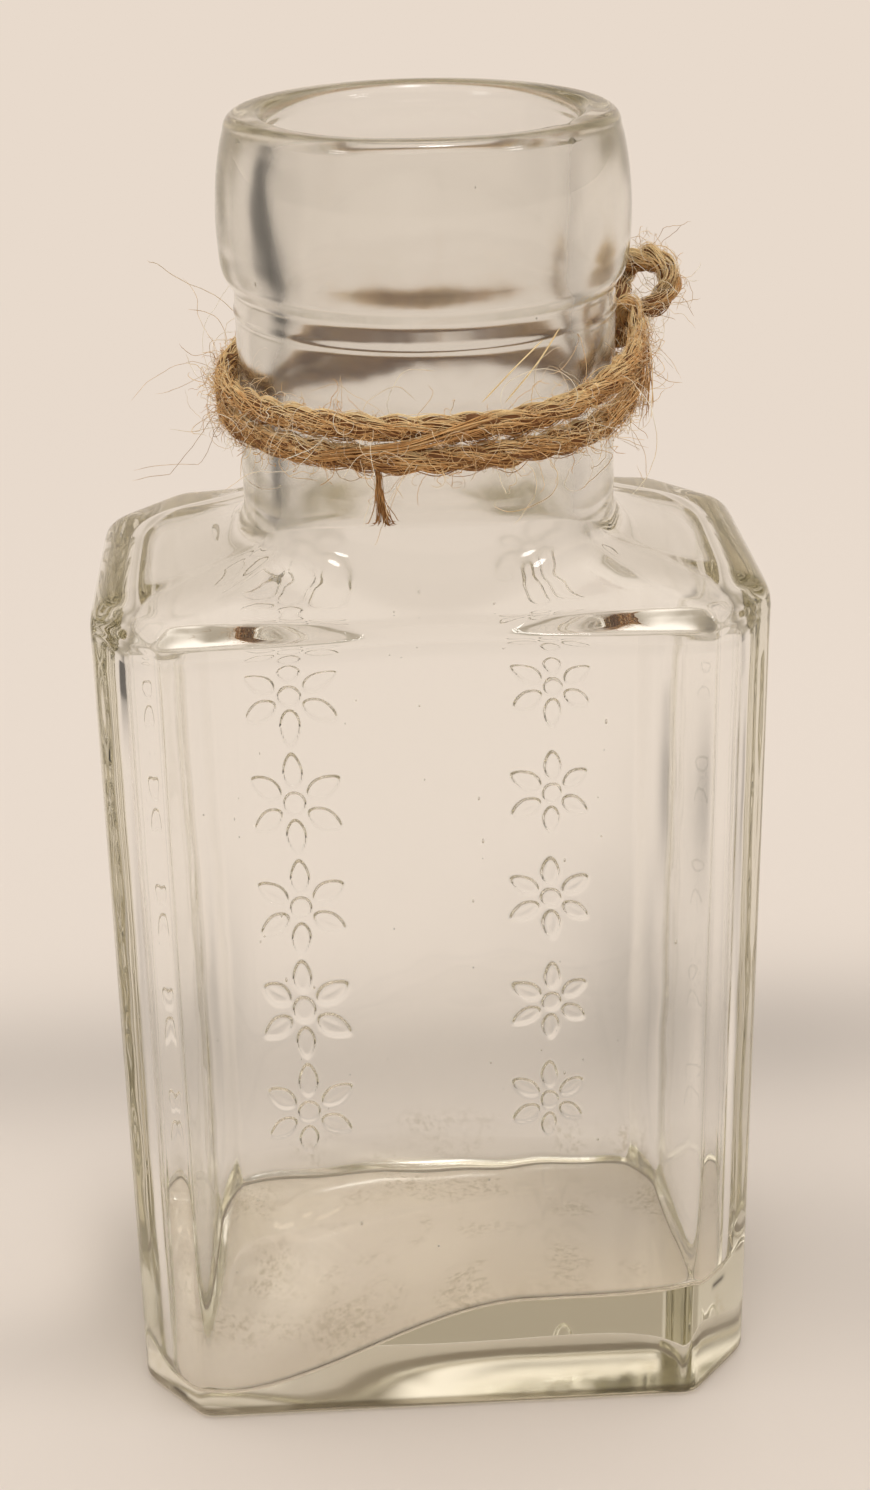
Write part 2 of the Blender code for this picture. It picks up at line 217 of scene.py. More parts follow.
# Glass, in millimetres. The shoulder's shares are how far out towards the wall, and how far up
glassSizes = dict(
    bodyWidth=60.0, bodyDepth=38.0, chamferAcross=6.0, chamferDeep=7.0,
    panelHeight=80.0, baseEdge=0.8, cornerPower=80, innerPower=6,
    sideWall=3.0, panelWall=2.7, shoulderWall=2.6,
    shoulderRise=6.0, shoulderLift=3.0,
    shoulderShares=((1.0, 0.0), (0.985, 0.19), (0.945, 0.32), (0.87, 0.42), (0.65, 0.52),
                    (0.36, 0.65), (0.16, 0.78), (0.06, 0.92), (0.0, 1.15)),
    innerShoulderShares=((1.0, -0.35), (0.985, 0.05), (0.945, 0.24), (0.87, 0.37), (0.65, 0.50),
                         (0.36, 0.65), (0.17, 0.84), (0.06, 1.15), (0.0, 1.7)),
    neckRadius=16.7, neckWall=3.4, neckLength=21.5, neckOffset=0.4,
    neckStart=1.5, beadHeight=105.0, beadProud=0.14, beadWide=0.35, beadReach=0.8,
    beadGap=1.0, collarHeight=14.3, collarOverhang=1.3, footDraw=0.4, footDrop=0.6,
    footRise=0.8, footRounding=0.5, lipDraw=1.0, lipRounding=1.3,
    chipAngle=322, chipWide=4.5, chipDeep=0.55, lipWave=0.14, lipWaves=5, dipAtTop=0.2,
    collarShares=((0.12, 0.8), (0.37, 1.0), (0.62, 0.8), (0.8, 0.4)),
    floorThin=0.9, floorThick=10.8, floorBack=6.5, frontRounding=0.8, backRounding=3.6,
    swellStart=-0.9, swellEnd=0.3,
    relief=0.45, rosettePitch=12.3, lowestRosette=12.2, rosetteCount=6,
    columns=((-13.6, 6.1), (13.4, 5.0)), petals=6,
    petalLength=0.72, petalWidth=0.42, petalPoint=0.12, petalPower=1.7, petalEdge=0.42,
    veinDeep=0.22, veinWide=0.16, stud=0.22, studSkirt=0.12, studEdge=0.34, rosetteRim=0.3,
    boreWaves=((10.0, 0.12), (4.5, 0.02)), wallWaves=((22.0, 0.10), (7.0, 0.02)), waveSeed=40,
    boreBulge=0.85, bulgeHeight=105.5, bulgeTall=4.0, waveFadeRows=12,
    bubbles=70, bubbleRadius=(0.05, 0.13), bubbleLong=2.4, bubbleDeep=(0.3, 0.7),
    neckBubbles=(94, 119), bodyBubbles=((-22, 22), (14, 76)),
    nearCorner=(0.0, 0.12, 0.25, 0.4, 0.6, 0.9, 1.3), shortSide=10, shortStep=0.55,
    coarseStep=1.1, fineStep=0.2, fineRim=0.5,
    baseShares=(0.04, 0.3, 0.6, 0.8, 0.92, 0.97), edgeRows=7,
    lowRows=(1.2, 5.8, 0.6), rowStep=0.2, shoulderRows=46,
    neckRows=14, beadRows=13, footRows=6, collarRows=22, lipRows=9,
    boreRows=80, wallRows=44, floorEdgeRows=9, floorRows=18,
)
g = glassSizes
halfWidth, halfDepth = g["bodyWidth"] / 2, g["bodyDepth"] / 2
innerWidth, innerDepth = halfWidth - g["sideWall"], halfDepth - g["panelWall"]  # halves too
neckFoot = g["panelHeight"] + g["shoulderRise"]
collarFoot = neckFoot + g["neckLength"]
topHeight = collarFoot + g["collarHeight"]
collarRadius = g["neckRadius"] + g["collarOverhang"]
boreRadius = g["neckRadius"] - g["neckWall"]


def outlineAngles():  # columns round the bottle, close together at corners and under the ornament
    w, d, a, b = halfWidth, halfDepth, g["chamferAcross"], g["chamferDeep"]
    corners = [(w, b - d), (w, d - b), (w - a, d), (a - w, d)]
    corners += [(-x, -y) for x, y in corners]
    near = list(g["nearCorner"])
    angles = []
    for start, stop in zip(corners, corners[1:] + corners[:1]):
        start, stop = np.array(start), np.array(stop)
        length = np.linalg.norm(stop - start)
        step = g["shortStep"] if length < g["shortSide"] else g["coarseStep"]
        count = max(2, int(round((length - 2 * near[-1]) / step)) + 1)
        middle = np.linspace(near[-1], length - near[-1], count)
        places = near[:-1] + list(middle) + [length - place for place in near[1:-1]]
        if start[1] == d and stop[1] == d:
            for centre, radius in g["columns"]:
                reach = radius + g["fineRim"]
                fine = start[0] - centre - np.arange(-reach, reach + 0.01, g["fineStep"])
                low, high = fine[-1] - g["fineStep"] / 2, fine[0] + g["fineStep"] / 2
                places = [place for place in places if not low < place < high] + list(fine)
        for place in places:
            spot = start + (stop - start) * place / length
            angles.append(atan2(spot[1], spot[0]))
    return np.unique(np.round(np.mod(angles, 2 * pi), 6))


def outerReach(angle, inset=0.0):
    w, d, a, b = halfWidth, halfDepth, g["chamferAcross"], g["chamferDeep"]
    across, deep = np.abs(np.cos(angle)), np.abs(np.sin(angle))
    slant = hypot(a, b)
    corner = (b * w + a * (d - b)) / slant
    facing = (b * across + a * deep) / slant
    walls = np.stack([across / (w - inset), deep / (d - inset), facing / (corner - inset)])
    nearest = walls.max(0)
    return ((walls / nearest) ** g["cornerPower"]).sum(0) ** (-1 / g["cornerPower"]) / nearest


def innerReach(angle):
    across, deep = np.abs(np.cos(angle)) / innerWidth, np.abs(np.sin(angle)) / innerDepth
    return (across ** g["innerPower"] + deep ** g["innerPower"]) ** (-1 / g["innerPower"])


def shoulderLift(angle):
    sideEnd = sin(atan2(halfDepth - g["chamferDeep"], halfWidth))
    return g["shoulderLift"] * easeBetween(np.abs(np.sin(angle)), sideEnd, 1)


def floorHeight(x, y):
    swell = easeBetween(x / innerWidth, g["swellStart"], g["swellEnd"])
    front = g["floorThin"] + (g["floorThick"] - g["floorThin"]) * swell
    return front + (g["floorBack"] - front) * easeStep((y / innerDepth + 1) / 2)


def ornament(x, z):  # how proud the back panel stands at each place
    proud = np.zeros_like(x)
    for middle, radius in g["columns"]:
        for step in range(g["rosetteCount"]):
            dx, dz = x - middle, z - (g["lowestRosette"] + g["rosettePitch"] * step)
            away = np.hypot(dx, dz)
            near = away < radius + g["rosetteRim"]
            if not near.any():
                continue
            stud = easeStep((radius * g["stud"] + g["studSkirt"] - away) / g["studEdge"])
            proud = np.maximum(proud, np.where(near, stud, 0))
            half, side = radius * g["petalLength"] / 2, radius * g["petalWidth"] / 2
            for petal in range(g["petals"]):
                turn = 2 * pi * (petal + 0.5) / g["petals"]
                u = (dx * cos(turn) + dz * sin(turn) - (radius - half)) / half
                v = (-dx * sin(turn) + dz * cos(turn)) / side
                u = u + g["petalPoint"] * (1 - u * u)
                edge = 1 - (np.abs(u) ** g["petalPower"] + np.abs(v) ** g["petalPower"])
                vein = g["veinDeep"] * np.exp(-(v / g["veinWide"]) ** 2) * easeStep(1 - np.abs(u))
                proud = np.maximum(proud, np.where(near, easeStep(edge / g["petalEdge"]) * (1 - vein), 0))
    return proud * g["relief"]


def roundedProfile(points, radius, steps, most=0.45):  # a turned outline with its corners rounded
    out = [points[0]]
    for before, corner, after in zip(points, points[1:], points[2:]):
        p, c, n = np.array(before), np.array(corner), np.array(after)
        back, on = (p - c) / np.linalg.norm(p - c), (n - c) / np.linalg.norm(n - c)
        reach = min(radius, most * np.linalg.norm(p - c), most * np.linalg.norm(n - c))
        for s in np.linspace(0, 1, steps):
            out.append(tuple(c + back * reach * (1 - s) ** 2 + on * reach * s ** 2))
    return out + [points[-1]]


def quarterTurn(steps):
    return np.linspace(0, pi / 2, steps)


class Skin:  # rows of points round the bottle, from the middle of the underside to that of the floor
    def __init__(self, angles):
        self.angles, self.cosines, self.sines = angles, np.cos(angles), np.sin(angles)
        self.rows = []

    def add(self, reach, height, shift=0.0):
        row = reach * self.cosines + shift, reach * self.sines, height + 0 * self.angles
        self.rows.append(np.stack(row, 1))

    def floorAt(self, reach):
        return floorHeight(reach * self.cosines, reach * self.sines)


def bodyRows(skin, lift):  # underside, walls with the ornament, and shoulder
    base = outerReach(skin.angles, g["baseEdge"])
    for share in g["baseShares"]:
        skin.add(base * share, 0.0)
    for turn in quarterTurn(g["edgeRows"]):
        inset = g["baseEdge"] * (1 - sin(turn))
        skin.add(outerReach(skin.angles, inset), g["baseEdge"] * (1 - cos(turn)))
    wall = outerReach(skin.angles)
    onBack = (skin.sines > 0) & (wall * skin.sines > halfDepth - 0.02)
    low, fine, lowStep = g["lowRows"]
    heights = np.concatenate([np.arange(low, fine, lowStep),
                              np.arange(fine, g["panelHeight"] - 0.05, g["rowStep"])])
    for height in heights:
        skin.add(wall, height)
        row = skin.rows[-1]
        row[onBack, 1] += ornament(row[onBack, 0], row[onBack, 2])
    for out, up in smoothPath(g["shoulderShares"], g["shoulderRows"]):
        height = g["panelHeight"] + g["shoulderRise"] * up + lift * (1 - out) ** 2
        skin.add(g["neckRadius"] + (wall - g["neckRadius"]) * out, height, g["neckOffset"] * (1 - out))


def neckRows(skin):  # neck with its bead, collar, and the lip's outer half
    bead, rounding = g["beadHeight"], g["lipRounding"]
    start = neckFoot + g["shoulderLift"] + g["neckStart"]
    for height in np.linspace(start, bead - g["beadGap"], g["neckRows"]):
        skin.add(g["neckRadius"], height, g["neckOffset"])
    for height in np.linspace(bead - g["beadReach"], bead + g["beadReach"], g["beadRows"]):
        proud = g["beadProud"] * exp(-((height - bead) / g["beadWide"]) ** 2)
        skin.add(g["neckRadius"] + proud, height, g["neckOffset"])
    side = [(collarRadius - g["lipDraw"] * (1 - out), collarFoot + g["collarHeight"] * up)
            for up, out in g["collarShares"]]
    foot = [(g["neckRadius"], bead + g["beadGap"]), (g["neckRadius"], collarFoot - g["footDrop"]),
            (collarRadius - g["footDraw"], collarFoot + g["footRise"])]
    profile = roundedProfile(foot + [side[0]], g["footRounding"], g["footRows"])[:-1]
    lip = collarRadius - g["lipDraw"]
    lipTurn = [(lip - rounding * (1 - cos(turn)), topHeight - rounding * (1 - sin(turn)))
               for turn in quarterTurn(g["lipRows"])]
    sideWalk = smoothPath([profile[-1]] + side + [lipTurn[0]], g["collarRows"])[1:-1]
    for radius, height in profile + sideWalk.tolist() + lipTurn:
        skin.add(radius, height, g["neckOffset"])


def lipRows(skin):  # the lip's inner half, slightly wavy and with a chip
    fromChip = (np.degrees(skin.angles) - g["chipAngle"]) / g["chipWide"]
    dip = g["chipDeep"] * np.exp(-fromChip ** 2) + g["lipWave"] * (1 + np.sin(g["lipWaves"] * skin.angles))
    for turn in quarterTurn(g["lipRows"]):
        share = sin(turn)
        radius = boreRadius + g["lipRounding"] * (1 - share)
        height = topHeight - g["lipRounding"] * (1 - cos(turn))
        depth = g["dipAtTop"] + (1 - g["dipAtTop"]) * share
        skin.add(radius + dip * share / 2, height - dip * depth, g["neckOffset"])


def boreRows(skin):
    foot = g["panelHeight"] - g["shoulderWall"] + g["shoulderRise"] * g["innerShoulderShares"][-1][1]
    for height in np.linspace(topHeight - g["lipRounding"], foot + g["shoulderLift"], g["boreRows"])[1:-1]:
        skin.add(boreRadius, height, g["neckOffset"])


def innerRows(skin, lift):  # the shoulder from inside, the inner walls and the uneven floor
    inside = innerReach(skin.angles)
    for out, up in smoothPath(g["innerShoulderShares"], g["shoulderRows"])[::-1]:
        height = g["panelHeight"] - g["shoulderWall"] + g["shoulderRise"] * up + lift * (1 - out) ** 2
        skin.add(boreRadius + (inside - boreRadius) * out, height, g["neckOffset"] * (1 - out))
    curve = g["frontRounding"] + (g["backRounding"] - g["frontRounding"]) * easeStep((skin.sines + 1) / 2)
    top, foot = skin.rows[-1][:, 2], curve + skin.floorAt(inside)
    for share in np.linspace(0, 1, g["wallRows"])[1:-1]:
        skin.add(inside, top * (1 - share) + foot * share)
    for turn in quarterTurn(g["floorEdgeRows"]):
        reach = inside - curve * (1 - cos(turn))
        skin.add(reach, skin.floorAt(reach) + curve * (1 - sin(turn)))
    for share in np.linspace(1, 0, g["floorRows"])[1:-1]:
        reach = (inside - curve) * share
        skin.add(reach, skin.floorAt(reach))


def addWaves(skin, boreStart, shoulderStart):  # the inside is never quite even
    outward = np.stack([skin.cosines, skin.sines, 0 * skin.sines], 1)
    for place in range(boreStart, len(skin.rows)):
        row, inBore = skin.rows[place], place < shoulderStart
        waves = enumerate(g["boreWaves"] if inBore else g["wallWaves"])
        swell = sum(high * ripple(row, size, g["waveSeed"] + order) for order, (size, high) in waves)
        if inBore:
            swell = swell - g["boreBulge"] * np.exp(-((row[:, 2] - g["bulgeHeight"]) / g["bulgeTall"]) ** 2)
        fade = easeStep((place - boreStart) / g["waveFadeRows"])
        skin.rows[place] = row + outward * (swell * fade)[:, None]


def makeGlassMesh():
    skin = Skin(outlineAngles())
    lift = shoulderLift(skin.angles)
    bodyRows(skin, lift)
    neckRows(skin)
    lipRows(skin)
    boreStart = len(skin.rows)
    boreRows(skin)
    shoulderStart = len(skin.rows)
    innerRows(skin, lift)
    addWaves(skin, boreStart, shoulderStart)
    count, columns = len(skin.rows), len(skin.angles)
    middles = np.array([[0, 0, 0.0], [0, 0, float(floorHeight(0.0, 0.0))]])
    points = np.vstack(skin.rows + [middles])
    faces = np.roll(gridFaces(1, count, columns)[:, ::-1], 1, axis=1).tolist()
    bottom, top = count * columns, count * columns + 1
    faces += [[bottom, (k + 1) % columns, k] for k in range(columns)]
    faces += [[top, bottom - columns + k, bottom - columns + (k + 1) % columns] for k in range(columns)]
    bubbles, skins = bubbleMesh(len(points))
    return np.vstack([points, bubbles]) * mm, faces + skins


def bubbleMesh(first, sides=8, rings=5):  # small air bubbles inside the walls, drawn out upwards
    draw = np.random.default_rng(51)
    points, faces = [], []
    around = np.linspace(0, 2 * pi, sides, endpoint=False)
    for number in range(g["bubbles"]):
        radius = draw.uniform(*g["bubbleRadius"])
        long = radius * draw.uniform(1.0, g["bubbleLong"])
        if number % 4 == 3:
            angle = draw.uniform(0, 2 * pi)
            out = boreRadius + g["neckWall"] * draw.uniform(*g["bubbleDeep"])
            high = draw.uniform(*g["neckBubbles"])
            centre = (out * cos(angle) + g["neckOffset"], out * sin(angle), high)
        else:
            across, high = g["bodyBubbles"]
            deep = halfDepth - g["panelWall"] * draw.uniform(*g["bubbleDeep"])
            centre = (draw.uniform(*across), deep * draw.choice((-1, 1)), draw.uniform(*high))
        start = first + len(points)
        points.append(np.array(centre) - (0, 0, long))
        for ring in range(1, rings):
            turn = pi * ring / rings
            wide = radius * sin(turn)
            for angle in around:
                rim = (wide * cos(angle), wide * sin(angle), -long * cos(turn))
                points.append(np.array(centre) + rim)
        points.append(np.array(centre) + (0, 0, long))
        for k in range(sides):
            after = (k + 1) % sides
            faces.append([start, start + 1 + k, start + 1 + after])
            for ring in range(rings - 2):
                low, high = start + 1 + ring * sides, start + 1 + (ring + 1) * sides
                faces.append([low + k, high + k, high + after, low + after])
            last = start + 1 + (rings - 2) * sides
            faces.append([last + k, last + sides, last + after])
    return np.array(points), faces


glassLooks = dict(
    tint=(0.78, 0.75, 0.58), depth=20.0, shadow=(0.95, 0.945, 0.93), bend=1.5,
    boreHaze=0.16, hazeFrom=14.7 * mm, hazeFull=14.2 * mm, floorHaze=0.10,
    # painted shade: a dark line along the crease where the inner floor meets the front wall
    creaseShadeColour=(0.02, 0.013, 0.006), creaseShadeHigh=0.5 * mm, creaseShadeWide=0.42 * mm,
    creaseShadeBand=(-1.0 * mm, -0.4 * mm, 0.6 * mm, 1.4 * mm),  # across the front wall's inner face
    residue=(0.70, 0.65, 0.54), residueTop=(14 * mm, 9 * mm), residueFoot=(0.2 * mm, 0.6 * mm),
    residueEdge=(0.6 * mm, 0.2 * mm), blotch=7 * mm, blotches=(0.45, 0.66),
    fleck=0.7 * mm, flecks=(0.46, 0.62),
    # painted shade: a darker band along the bottom edge, standing in for dark internal reflections there
    foot=(0.20, 0.17, 0.125), footShadeHigh=(1.7 * mm, 1.2 * mm), footShadeTilt=(0.97, 0.90),
    dust=(0.94, 0.935, 0.925), dustFrom=(78 * mm, 82 * mm),
)


def makeGlassMaterial():  # clean outside but for painted shade along the bottom edge; inside, a hazy bore, a painted shade line at the front where the floor meets the wall, and a mottled floor
    looks = glassLooks
    material = bpy.data.materials.new("clearGlass")
    graph = Graph(material)
    where = graph.add("TexCoord", out=3)
    across = graph.add("SeparateXYZ", None, {0: where})
    deep, high = across.output(1), across.output(2)
    out = graph.maths("SQRT", across * across + deep * deep)
    inBore = graph.ramp(out, looks["hazeFrom"], looks["hazeFull"])
    haze = inBore * graph.ramp(high, g["panelHeight"] * mm, neckFoot * mm) * looks["boreHaze"]
    reach = innerWidth * mm
    frontFloor = graph.ramp(across, g["swellStart"] * reach, g["swellEnd"] * reach,
                            g["floorThin"] * mm, g["floorThick"] * mm)
    # painted shade: a dark line along the crease where the inner floor meets the front wall
    gap = (high - frontFloor - looks["creaseShadeHigh"]) / looks["creaseShadeWide"]
    wall = -innerDepth * mm
    start, full, fade, end = (wall + place for place in looks["creaseShadeBand"])
    onWall = graph.ramp(deep, end, fade) * graph.ramp(deep, start, full)
    creaseShadeMask = graph.maths("EXPONENT", gap * gap * -1.0) * onWall
    before, behind = looks["residueEdge"]
    inside = graph.ramp(deep, wall - before, wall) * graph.ramp(deep, behind - wall, -wall) \
        * graph.ramp(high, *looks["residueTop"]) * graph.ramp(high, *looks["residueFoot"])
    blotch = graph.ramp(graph.grain(looks["blotch"], 3.0, where), *looks["blotches"])
    fleck = graph.ramp(graph.grain(looks["fleck"], 4.0, where, 0.7), *looks["flecks"])
    clear = graph.blend(graph.ramp(high, *looks["dustFrom"]), (1.0, 1.0, 1.0), looks["dust"])
    # painted shade along the bottom edge, on faces that are not flat, standing in for dark internal
    # reflections
    facing = graph.add("SeparateXYZ", None, {0: graph.add("NewGeometry", out=1)}, 2)
    upright = graph.ramp(graph.maths("ABSOLUTE", facing), *looks["footShadeTilt"])
    foot = graph.ramp(high, *looks["footShadeHigh"]) * upright
    colour = graph.blend(inside * blotch * fleck, graph.blend(foot, clear, looks["foot"]), looks["residue"])
    shader = graph.add("BsdfPrincipled", None, {
        "Base Color": graph.blend(creaseShadeMask, colour, looks["creaseShadeColour"]),
        "Roughness": haze + inside * looks["floorHaze"],
        "IOR": looks["bend"], "Transmission Weight": 1.0})
    through = graph.add("BsdfTransparent", None, {"Color": looks["shadow"]})
    shadow = graph.add("LightPath", out=1)
    surface = graph.add("MixShader", None, {0: shadow, 1: shader, 2: through})
    volume = graph.add("VolumeAbsorption", None, {"Color": looks["tint"], "Density": looks["depth"]})
    graph.add("OutputMaterial", None, {"Surface": surface, "Volume": volume})
    return material


def makeGlass():
    points, faces = makeGlassMesh()
    glass = makeObject("glass_skin", points, faces, makeGlassMaterial())
    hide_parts("glass_bottle")
    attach(glass, "bottle")
    print("glass made:", len(points), "points")


makeGlass()


# Twine, in millimetres. Heights are above the neck's foot, and the route is the CAD one
twineSizes = dict(
    seatGap=0.4, diameter=1.7, turns=2, high=14.1, pitch=2.6, leanBack=0.6, leanLeft=0.3,
    backLift=2.2, pathStep=0.25, roughPoints=400,
    pointsPerTurn=24, frontClimb=0.17, backClimb=(1.70, 1.87), overlap=(1.62, 1.72, 1.86, 1.96),
    overlapGap=0.6, knotAngle=6, knotHeight=16.2, knotLength=3.4, knotThick=2.2,
    frontDrop=18, backDrop=30,
    fibreGap=0.06, collarGap=0.1, underCollar=0.3, fibresLowest=5.0,
    loopRoute=((0, 1.35, 0.8), (0, 2.8, 1.66), (0.4, 3.85, 2.9), (1.2, 3.9, 4.3), (2.3, 2.8, 5.1),
               (3.9, 1.8, 4.7), (5.4, 1.3, 3.9), (6.0, 1.1, 3.0), (4.8, 0.6, 2.4), (3.1, 0.1, 1.93),
               (1.7, 0, 1.04)),
)
w = twineSizes
ringRadius = g["neckRadius"] + w["seatGap"] + w["diameter"] / 2
neckPlace = np.array([g["neckOffset"], 0.0, neckFoot])


def knotFrame():
    angle = radians(w["knotAngle"])
    out = np.array([cos(angle), sin(angle), 0.0])
    along = np.array([-sin(angle), cos(angle), 0.0])
    middle = out * (g["neckRadius"] + w["seatGap"] + w["knotThick"] / 2) + np.array([0, 0, w["knotHeight"]])
    return out, along, middle


def knotRun(side, drop):
    out, along, middle = knotFrame()
    way = along * (side * cos(radians(drop))) - np.array([0, 0, sin(radians(drop))])
    meet = middle + way * (w["knotLength"] / 2 + w["seatGap"])
    return meet, meet + way * w["diameter"]


def wrapRoute():
    knotAngle = radians(w["knotAngle"])
    first, front = knotRun(-1, w["frontDrop"])
    last, back = knotRun(1, w["backDrop"])
    start = (knotAngle - atan2(front[1], front[0])) / (2 * pi)
    end = w["turns"] - (atan2(back[1], back[0]) - knotAngle) / (2 * pi)
    rise, top, fall, low = w["overlap"]
    steps = w["turns"] * w["pointsPerTurn"]
    points = [first, front]
    for turn in [start + (end - start) * step / steps for step in range(1, steps)]:
        angle = knotAngle - 2 * pi * turn
        climb = 1 - easeStep((turn - start) / w["frontClimb"])
        climbBack = easeBetween(turn, *w["backClimb"])
        over = easeBetween(turn, rise, top) * easeBetween(turn, low, fall)
        ease = easeBetween(turn, fall, end)
        radius = ringRadius + (hypot(front[0], front[1]) - ringRadius) * climb \
            + (hypot(back[0], back[1]) - ringRadius) * ease + (w["diameter"] + w["overlapGap"]) * over
        z = w["high"] - w["pitch"] * turn + w["leanBack"] * sin(angle) - w["leanLeft"] * cos(angle)
        z += w["backLift"] * max(0.0, sin(angle)) ** 2
        z += (front[2] - z) * climb + (back[2] - z) * climbBack
        points.append(np.array([radius * cos(angle), radius * sin(angle), z]))
    return np.array(points + [back, last]) + neckPlace


def loopRoute():
    out, along, middle = knotFrame()
    points = [middle + along * a + out * o + np.array([0, 0, u]) for a, o, u in w["loopRoute"]]
    return np.array(points) + neckPlace


class Strand:  # a stretch of twine, with a frame of its own at each point of its path
    def __init__(self, route, outward=None):
        rough = smoothPath(route, w["roughPoints"])
        self.walk = evenPath(rough, int(pathLength(rough) / w["pathStep"]) + 2)
        self.length = pathLength(self.walk)
        self.along = np.linspace(0, self.length, len(self.walk))
        way = unit(np.gradient(self.walk, axis=0))
        if outward is None:
            side = [unit(np.cross(way[0], (0.3, 0.2, 1.0)))]
            for place in way[1:]:
                side.append(unit(side[-1] - place * np.dot(side[-1], place)))
            side = np.array(side)
        else:
            side = outward(self.walk)
            side = unit(side - way * (side * way).sum(1)[:, None])
        self.way, self.side, self.rise = way, side, np.cross(way, side)

    def read(self, table, along):
        return np.stack([np.interp(along, self.along, table[:, axis]) for axis in range(3)], -1)

    def at(self, along, u, v):
        return self.read(self.walk, along) + self.read(self.side, along) * u[..., None] \
            + self.read(self.rise, along) * v[..., None]


def fromNeck(points):  # straight out from the neck's axis
    out = points - neckPlace
    out[..., 2] = 0
    return unit(out)


def unevenness(along, seed, size=9):  # slow swelling and thinning along a strand, from -1 to 1
    draw = np.random.default_rng(seed)
    wave = sum(np.sin(2 * pi * (along / (size * scale) + draw.random())) for scale in (1.0, 0.61, 0.37))
    return wave / 3


twist = dict(  # how the plies and fibres of the wrapped strand lie
    plies=3, lay=9.0, offset=(0.29, 0.50), half=(0.46, 0.66), around=42, fibrePoints=30,
    fibreLong=(6, 20), fibreRadius=(0.022, 0.055), plyTwist=(-0.30, 0.10), wander=0.32,
    wanderWaves=(0.6, 2.2), loose=0.16, endDraw=0.25,
    coreLobes=(1.0, 1.12), coreLeast=0.45, coreSize=0.90, coreEnd=0.5,
    swell=0.12, paintedTopLight=0.6, seed=11,
)
loopTwist = dict(twist, lay=6.5, offset=(0.48, 0.48), half=(0.54, 0.54), around=52, plyTwist=(-0.2, 0.15),
                 fibreLong=(4, 12), fibreRadius=(0.018, 0.042), paintedTopLight=0.8, seed=12)
knotTwist = dict(twist, lay=6.0, offset=(0.32, 0.32), half=(0.42, 0.42), around=24, fibreLong=(3, 8), seed=13)


def coreTube(strand, look, sides=18):  # the inner body of a strand, lobed by its plies, dark as painted shade for the gaps between its fibres
    turn = 2 * pi * strand.along / look["lay"]
    angles = np.linspace(0, 2 * pi, sides, endpoint=False)
    reach = np.full((len(strand.walk), sides), look["coreLeast"])
    offset, half = look["coreLobes"]
    for ply in range(look["plies"]):
        apart = angles[None] - (turn + 2 * pi * ply / look["plies"])[:, None]
        across = np.maximum(half ** 2 - (offset * np.sin(apart)) ** 2, 0)
        reach = np.maximum(reach, offset * np.cos(apart) + np.sqrt(across))
    reach = reach / (offset + half) * look["coreSize"]
    reach *= (1 + look["swell"] * unevenness(strand.along, look["seed"]))[:, None]
    size = [look["offset"][axis] + look["half"][axis] for axis in (0, 1)]
    fromEnd = np.minimum(strand.along, strand.length - strand.along)
    ends = np.minimum(1, look["endDraw"] + fromEnd / look["coreEnd"])[:, None]
    u, v = reach * np.cos(angles) * size[0] * ends, reach * np.sin(angles) * size[1] * ends
    points = strand.walk[:, None] + strand.side[:, None] * u[..., None] + strand.rise[:, None] * v[..., None]
    faces, last = gridFaces(1, *points.shape[:2]).tolist(), len(points) * sides - 1
    faces += [list(range(sides)), list(range(last, last - sides, -1))]
    return points.reshape(-1, 3), faces


def fibrePaths(strand, look):  # fibres that lie on the plies, as (fibre, point, xyz)
    draw = np.random.default_rng(look["seed"])
    low, high = look["fibreLong"]
    high = min(high, strand.length * 0.8)
    count = int(look["plies"] * look["around"] * strand.length / ((low + high) / 2))
    long = draw.uniform(low, high, count)
    start = np.clip(draw.uniform(-0.12, 1.12, count), 0, 1) * (strand.length - long)
    share = np.linspace(0, 1, look["fibrePoints"])[None]
    along = start[:, None] + long[:, None] * share
    ply = draw.integers(look["plies"], size=count)[:, None]
    turn = 2 * pi * (along / look["lay"] + ply / look["plies"])
    lean = draw.uniform(0, 2 * pi, count)[:, None]
    lean = lean + turn * draw.normal(*look["plyTwist"], count)[:, None]
    waves = share * draw.uniform(*look["wanderWaves"], count)[:, None] + draw.random(count)[:, None]
    lean = lean + look["wander"] * np.sin(2 * pi * waves)
    lift = 1 + draw.normal(0, 0.05, count)[:, None] \
        + look["loose"] * draw.exponential(1.0, count)[:, None] * np.sin(pi * share) ** 2
    lift = lift * (1 - look["endDraw"] + look["endDraw"] * easeStep(np.minimum(share, 1 - share) * 12))
    fat = 1 + look["swell"] * unevenness(along, look["seed"])
    u = fat * (look["offset"][0] * np.cos(turn) + look["half"][0] * lift * np.cos(lean))
    v = fat * (look["offset"][1] * np.sin(turn) + look["half"][1] * lift * np.sin(lean))
    paths = strand.at(along, u, v)
    # tone: random per fibre, plus painted light, so fibres higher on the strand are lighter and lower ones
    # darker
    above = paths[..., 2] - strand.read(strand.walk, along)[..., 2]
    tones = 0.6 * draw.random(count)[:, None] + look["paintedTopLight"] * (0.5 + above / (2 * look["half"][1]))
    return paths, draw.uniform(*look["fibreRadius"], count), np.clip(tones, 0, 1)


hairs = dict(  # how many, how long, and how they curl
    fuzz=dict(count=2600, longs=(0.8, 4.6), seed=31, curl=0.8),
    short=dict(count=420, longs=(1.5, 6.0), seed=33, curl=0.6),
    long=dict(count=150, longs=(5.0, 15.0), seed=32, curl=0.28, radii=(0.020, 0.036), steps=22,
              tangled=0.12),
    knot=dict(count=160, longs=(1.0, 6.0), seed=34, curl=0.8),
    loop=dict(count=150, longs=(1.2, 7.0), seed=35, curl=0.6),
)


